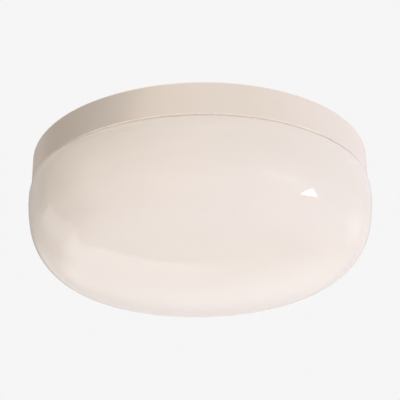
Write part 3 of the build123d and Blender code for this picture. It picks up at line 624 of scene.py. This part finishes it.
class BuildThreads(bpy.types.Operator):
    """Turn the threaded lamp caps and the threaded contact shells in the lampholders"""
    bl_idname = "ceiling_light.build_threads"
    bl_label = "Lamp caps and contact shells"
    segments = 72
    rows_per_turn = 10
    cone_rows = 3
    flare_rows = 2
    skirt_rows = 3

    def execute(self, context):
        t = context.scene.light_threads
        colours = context.scene.light_finishes
        nickel = nickel_finish(tuple(colours.nickel))
        brass = brass_finish(tuple(colours.brass))
        for lamp, way in ((1, 1), (2, -1)):
            cap = self.cap(t)
            cap.transform(lamp_place(*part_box(f"lamp_cap_{lamp}"), way))
            add_piece(f"threaded_cap_{lamp}", cap, nickel, f"lamp_{lamp}",
                      f"lamp_cap_{lamp}")
            shell = self.shell(t)
            shell.transform(lamp_place(*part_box(f"screw_shell_{lamp}"), way))
            add_piece(f"threaded_shell_{lamp}", shell, brass, "fitting",
                      f"screw_shell_{lamp}")
        return {"FINISHED"}

    def rows(self, length, pitch):
        """Rows of faces along a thread."""
        return round(self.rows_per_turn * length / pitch)

    def cap(self, t):
        """Cone, threaded barrel and skirt, drawn as a sheet with an inside and an outside."""
        cone = t.cap_cone_height
        top = cone + t.cap_barrel
        outer, inner = t.cap_radius, t.cap_radius - t.cap_wall
        skirt = (cap_high.z - cap_low.z) / 2
        flare = top + skirt - outer
        end = top + t.skirt_height
        rows = self.rows(t.cap_barrel, t.pitch)
        sheet = Outline(t.cap_cone, 0)
        sheet.line(outer, cone, self.cone_rows)
        sheet.line(outer, top, rows)
        sheet.line(skirt, flare, self.flare_rows)
        sheet.line(skirt, end, self.skirt_rows)
        sheet.line(skirt - t.cap_wall, end)
        sheet.line(skirt - t.cap_wall, flare, self.skirt_rows)
        sheet.line(inner, top, self.flare_rows)
        sheet.line(inner, cone, rows)
        sheet.line(t.cap_cone - t.cap_wall, 0, self.cone_rows)
        sheet.close()
        bm = sheet.turned(self.segments)
        cut_thread(bm, cone, top, t.pitch, t.cap_depth, t.fade)
        return bm

    def shell(self, t):
        """Open sleeve with a shallow thread, so that the lamp slides clear of it."""
        length = shell_high.x - shell_low.x
        outer = (shell_high.z - shell_low.z) / 2
        inner = outer - t.shell_wall
        rows = self.rows(length, t.pitch)
        sheet = Outline(outer, 0)
        sheet.line(outer, length, rows)
        sheet.line(inner, length)
        sheet.line(inner, 0, rows)
        sheet.close()
        bm = sheet.turned(self.segments)
        cut_thread(bm, 0, length, t.pitch, t.shell_depth, t.fade)
        return bm


# ================================================================== finishes for the CAD pieces
class DressPan(bpy.types.Operator):
    """Finish the pan, its gasket and the cable grommet"""
    bl_idname = "ceiling_light.dress_pan"
    bl_label = "Pan, gasket and grommet"

    def execute(self, context):
        c = context.scene.light_finishes
        dress(enamel_finish(tuple(c.enamel)), "pan")
        dress(foam_finish(tuple(c.foam)), "rim_gasket")
        dress(rubber_finish(tuple(c.rubber)), "cable_grommet")
        return {"FINISHED"}


class DressHardware(bpy.types.Operator):
    """Finish the spring clips, sleeves, brackets, rivets and screws"""
    bl_idname = "ceiling_light.dress_hardware"
    bl_label = "Clips, brackets and screws"

    def execute(self, context):
        c = context.scene.light_finishes
        plated = tuple(c.plated_steel)
        dress(spring_steel_finish(tuple(c.spring_steel)), "spring_clip_")
        dress(silicone_finish(tuple(c.silicone)), "clip_sleeve_")
        dress(plated_finish("bracket_zinc", plated, grain=210), "holder_bracket_", "lead_clip_")
        dress(plated_finish("rivet_steel", tone(plated, 0.9), grain=900), "clip_rivet_",
              "bracket_rivet_")
        dress(plated_finish("screw_steel", tone(plated, 1.06), grain=1300), "holder_screw_",
              "terminal_screw_", "block_screw", "earth_screw")
        return {"FINISHED"}


class DressLamps(bpy.types.Operator):
    """Finish the lampholders, their contacts, and the lamps"""
    bl_idname = "ceiling_light.dress_lamps"
    bl_label = "Lampholders and lamps"

    def execute(self, context):
        c = context.scene.light_finishes
        dress(porcelain_finish(tuple(c.porcelain)), "lampholder_")
        dress(brass_finish(tuple(c.brass)), "centre_contact_")
        dress(frosted_finish(tuple(c.frosted)), "bulb_")
        dress(black_glass_finish(tuple(c.insulator)), "cap_insulator_")
        dress(solder_finish(tuple(c.solder)), "tip_contact_")
        return {"FINISHED"}


class DressWiring(bpy.types.Operator):
    """Finish the terminal block, its brass, the earth tag and the leads"""
    bl_idname = "ceiling_light.dress_wiring"
    bl_label = "Terminals and leads"

    def execute(self, context):
        c = context.scene.light_finishes
        dress(nylon_finish(tuple(c.nylon)), "terminal_block")
        dress(brass_finish(tuple(c.brass)), "terminal_insert_", "earth_tag")
        dress(sheath_finish("lead_live", tuple(c.live)), "live_lead_")
        dress(sheath_finish("lead_neutral", tuple(c.neutral)), "neutral_lead_")
        dress(sheath_finish("lead_earth", tuple(c.earth), tuple(c.earth_stripe)), "earth_lead")
        return {"FINISHED"}


# ================================================================== studio
# Light on the round wall. Later areas lie over earlier ones. Each has an azimuth and an elevation,
# both as middle, half width and softness in degrees, and a colour. Azimuth runs from the camera's
# side toward +X.
WALL_WHITE = (1.00, 0.93, 0.80)
WALL_LIGHT = {
    "right side": ((50, 80, 40), (-25, 40, 25), (1.00, 0.95, 1.00)),
    "front left": ((-40, 40, 25), (-15, 45, 25), (1.20, 1.10, 1.00)),
    "floor": ((0, 200, 10), (-75, 25, 15), (1.00, 0.95, 0.95)),
    "upper wall": ((0, 200, 10), (30, 15, 10), (0.75, 0.70, 0.65)),
    "upper right": ((110, 50, 30), (30, 15, 10), (0.95, 0.90, 0.95)),
    "dark left": ((-105, 25, 12), (-5, 35, 12), (0.10, 0.08, 0.06)),
    "dark upper left": ((-80, 38, 18), (33, 16, 6), (0.05, 0.04, 0.03)),
    "table edge": ((-150, 33, 12), (-20, 18, 1), (1.60, 1.50, 1.45)),
    "table corner": ((-120, 13, 1), (-15, 17, 2), (0.80, 0.75, 0.70)),
    "table end": ((-140, 16, 6), (-10, 17, 6), (0.40, 0.35, 0.30)),
    "table": ((180, 32, 12), (-12, 19, 8), (1.25, 1.20, 1.20)),
    "far left": ((-150, 20, 10), (5, 15, 10), (0.25, 0.25, 0.20)),
    "far side": ((180, 40, 15), (0, 10, 10), (0.85, 0.80, 0.80)),
    "far shade": ((-165, 35, 10), (25, 12, 8), (0.45, 0.40, 0.40)),
    "glow": ((55, 15, 10), (-15, 6, 6), (2.00, 2.00, 2.00)),
    "side window": ((125, 10, 8), (-10, 8, 6), (1.35, 1.40, 1.40)),
}

# Corners of the bright card whose reflection is the small triangle: azimuth and elevation.
KEY_CORNERS = [(69, -29), (73, -15), (81, -22)]


def aimed(turn, rise, distance):
    """Point at a distance from the origin, by azimuth and elevation in degrees."""
    turn, rise = radians(turn), radians(rise)
    out = distance * cos(rise)
    return (out * sin(turn), -out * cos(turn), distance * sin(rise))


def floor_material(base):
    """Plain matt floor with hardly any grain."""
    g = MaterialGraph("studio_floor")
    grain = g.noise(3, 2)
    return g.finish(Base_Color=g.mix(grain, tone(base, 0.995), base), Roughness=0.9)


def band(angle, width, softness):
    """1 near an angle of 0 and 0 away from it, in degrees."""
    away = angle.graph.math("ABSOLUTE", angle)
    return 1 - away.step(width - softness, width + softness)


def wall_material(level):
    """Round wall that glows with the soft areas of WALL_LIGHT."""
    g = MaterialGraph("studio_wall")
    x, y, z = (g.axis(name) for name in "XYZ")
    out = (x * x + y * y) ** 0.5
    azimuth = g.math("ARCTAN2", x, 0 - y) * degrees(1)
    elevation = g.math("ARCTAN2", z, out) * degrees(1)
    shade = tone(WALL_WHITE, 1 / level)
    for (turn, turn_width, turn_soft), (rise, rise_width, rise_soft), light in WALL_LIGHT.values():
        across = g.math("WRAP", azimuth - turn, 180, -180)
        share = band(across, turn_width, turn_soft) * band(elevation - rise, rise_width, rise_soft)
        shade = g.mix(share, shade, tone(light, 1 / level))
    return g.glow(shade, level)


def add_stage(name, bm, material):
    """Make a studio object of a bmesh; it is no part of the light."""
    mesh = bpy.data.meshes.new(name)
    bm.to_mesh(mesh)
    bm.free()
    mesh.materials.append(material)
    made = bpy.data.objects.new(name, mesh)
    bpy.context.scene.collection.objects.link(made)
    return made


class BuildStudio(bpy.types.Operator):
    """Set up the floor, the surroundings, the lit wall, the bright card and the camera"""
    bl_idname = "ceiling_light.build_studio"
    bl_label = "Studio"
    floor_segments = 96
    wall_segments = 48
    wall_rings = 24
    view_end = 50.0           # farthest that the camera sees, in metres

    def execute(self, context):
        s = context.scene.light_studio
        self.floor(s)
        self.surroundings(context.scene, s)
        self.wall(s)
        self.key_light(s)
        self.camera(context.scene, s)
        context.scene.view_settings.view_transform = "Standard"
        return {"FINISHED"}

    def floor(self, s):
        """Floor that the camera sees; it neither lights nor shades the object."""
        bm = bmesh.new()
        bmesh.ops.create_circle(bm, cap_ends=True, segments=self.floor_segments,
                                radius=s.floor_radius,
                                matrix=Matrix.Translation((0, s.floor_back, -s.floor_drop)))
        floor = add_stage("studio_floor", bm, floor_material(tuple(s.floor_white)))
        floor.visible_diffuse = False
        floor.visible_glossy = False
        floor.visible_shadow = False

    def surroundings(self, scene, s):
        """Even pale world, for what the camera, gloss and glass see past the wall."""
        world = bpy.data.worlds.new("studio")
        g = Graph(world)
        camera, gloss, glass = (g.node("ShaderNodeLightPath", {}, {}, f"Is {kind} Ray")
                                for kind in ("Camera", "Glossy", "Transmission"))
        seen = g.math("MAXIMUM", g.math("MAXIMUM", camera, gloss), glass)
        background = g.tree.nodes["Background"]
        g.set(background.inputs["Color"], (*s.surround, 1))
        g.set(background.inputs["Strength"], seen)
        scene.world = world

    def wall(self, s):
        """Round wall, hidden from the camera, whose light falls on the object from all sides."""
        bm = bmesh.new()
        bmesh.ops.create_uvsphere(bm, u_segments=self.wall_segments, v_segments=self.wall_rings,
                                  radius=s.wall_radius)
        wall = add_stage("studio_wall", bm, wall_material(s.wall_level))
        wall.visible_camera = False

    def key_light(self, s):
        """Bright card, hidden from the camera, whose reflection is the small triangle."""
        bm = bmesh.new()
        corners = [aimed(turn, rise, s.key_distance) for turn, rise in KEY_CORNERS]
        bm.faces.new([bm.verts.new(corner) for corner in corners])
        white = MaterialGraph("key_triangle").glow((1, 1, 1), s.key_level)
        card = add_stage("key_triangle", bm, white)
        card.visible_camera = False

    def camera(self, scene, s):
        """Camera below the object, on the side of -Y."""
        lens = bpy.data.cameras.new("camera")
        lens.lens = s.lens
        lens.shift_x = s.shift_x
        lens.shift_y = s.shift_y
        lens.clip_end = self.view_end
        camera = bpy.data.objects.new("camera", lens)
        back = Vector((0, -cos(s.elevation), sin(s.elevation)))
        turn = back.to_track_quat("Z", "Y").to_matrix().to_4x4()
        place = Matrix.Translation(Vector((0, 0, s.aim)) + back * s.distance)
        camera.matrix_world = place @ turn @ Matrix.Rotation(s.roll, 4, "Z")
        scene.collection.objects.link(camera)
        scene.camera = camera


OPERATORS = [BuildStudio, BuildShade, BuildThreads, DressPan, DressHardware, DressLamps, DressWiring]


class LightPanel(bpy.types.Panel):
    """Sidebar panel that lists the steps"""
    bl_idname = "VIEW3D_PT_ceiling_light"
    bl_label = "Ceiling light"
    bl_space_type = "VIEW_3D"
    bl_region_type = "UI"
    bl_category = "Ceiling light"

    def draw(self, context):
        for operator in OPERATORS:
            self.layout.operator(operator.bl_idname)


def register():
    for cls in [*GROUPS.values(), *OPERATORS, LightPanel]:
        bpy.utils.register_class(cls)
    for name, group in GROUPS.items():
        setattr(bpy.types.Scene, name, PointerProperty(type=group))


def unregister():
    for name in GROUPS:
        delattr(bpy.types.Scene, name)
    for cls in reversed([*GROUPS.values(), *OPERATORS, LightPanel]):
        bpy.utils.unregister_class(cls)


def main():
    """Build the light and its studio."""
    register()
    for operator in OPERATORS:
        family, step = operator.bl_idname.split(".")
        getattr(getattr(bpy.ops, family), step)()


if __name__ == "__main__":
    main()
